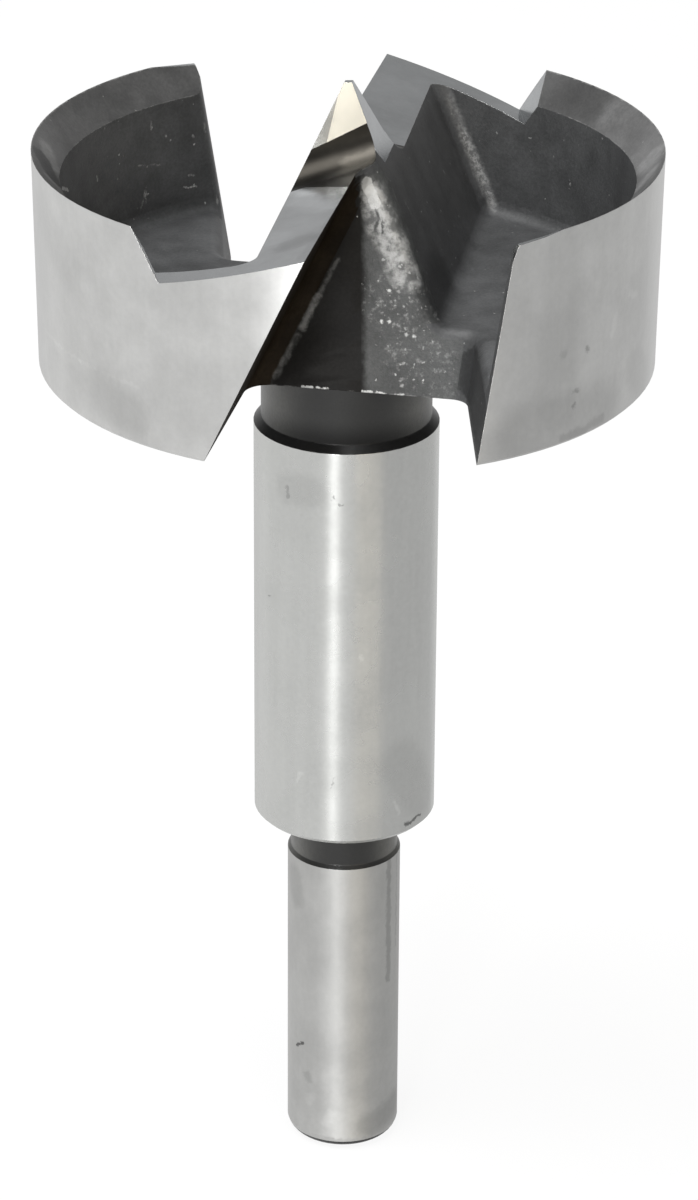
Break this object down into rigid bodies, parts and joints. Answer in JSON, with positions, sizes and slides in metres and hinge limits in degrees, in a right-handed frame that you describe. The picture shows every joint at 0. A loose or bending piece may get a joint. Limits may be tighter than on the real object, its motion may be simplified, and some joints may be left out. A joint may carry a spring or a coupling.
{
  "type": "forstner bit",
  "caption": "Wood-boring bit with two raked cutters, sharp curved rims and a centre point on a stepped round shank.",
  "frame": {"origin": "centre of the flat end of the thin shank, which the bit stands on", "axes": "+Z along the bit's axis towards the centre point; the cutting edges lie along Y, the first one reaching out towards -Y and cutting towards +X"},
  "size_m": [0.05, 0.05, 0.0948],
  "materials": {
    "forstner_bit": "ground bright outside, black oxide inside the head and on the neck"
  },
  "bodies": {
    "root": {"forstner_bit": "forstner_bit"}
  },
  "joints": []
}
